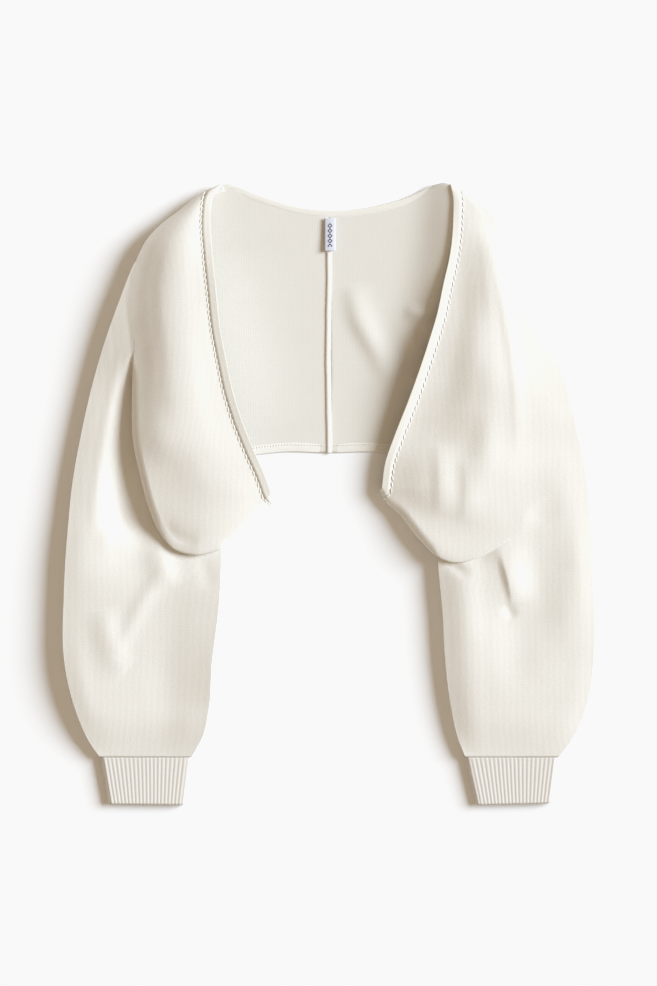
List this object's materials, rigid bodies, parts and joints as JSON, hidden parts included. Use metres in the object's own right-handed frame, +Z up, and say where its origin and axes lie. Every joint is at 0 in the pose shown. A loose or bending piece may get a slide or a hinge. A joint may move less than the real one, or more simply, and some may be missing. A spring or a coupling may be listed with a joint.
{
  "type": "knitted shrug",
  "caption": "Cropped knitted shrug laid flat, open front with rolled edges, balloon sleeves gathered to ribbed cuffs.",
  "frame": {"origin": "middle of the laid-out garment's outline, on the surface it lies on", "axes": "+Y towards the neck, +X towards the garment's side that is on the right when it is seen from above, +Z up off the surface"},
  "size_m": [0.582, 0.6813, 0.0438],
  "materials": {
    "knit": "matt fine stockinette knit, cream",
    "inside_knit": "matt reverse side of the knit, cream",
    "rib_knit": "matt two by two rib, cream",
    "edge_knit": "matt turned edge with linked stitches, cream",
    "label_satin": "soft satin weave, pale blue white"
  },
  "bodies": {
    "root": {"back_left": "inside_knit", "back_right": "inside_knit", "front_left": "knit", "front_right": "knit", "sleeve_left": "knit", "sleeve_right": "knit", "cuff_left": "rib_knit", "cuff_right": "rib_knit", "front_band_left": "edge_knit", "front_band_right": "edge_knit", "hem_band_left": "edge_knit", "hem_band_right": "edge_knit", "neck_band": "edge_knit", "centre_back_seam": "edge_knit", "label": "label_satin"}
  },
  "joints": []
}
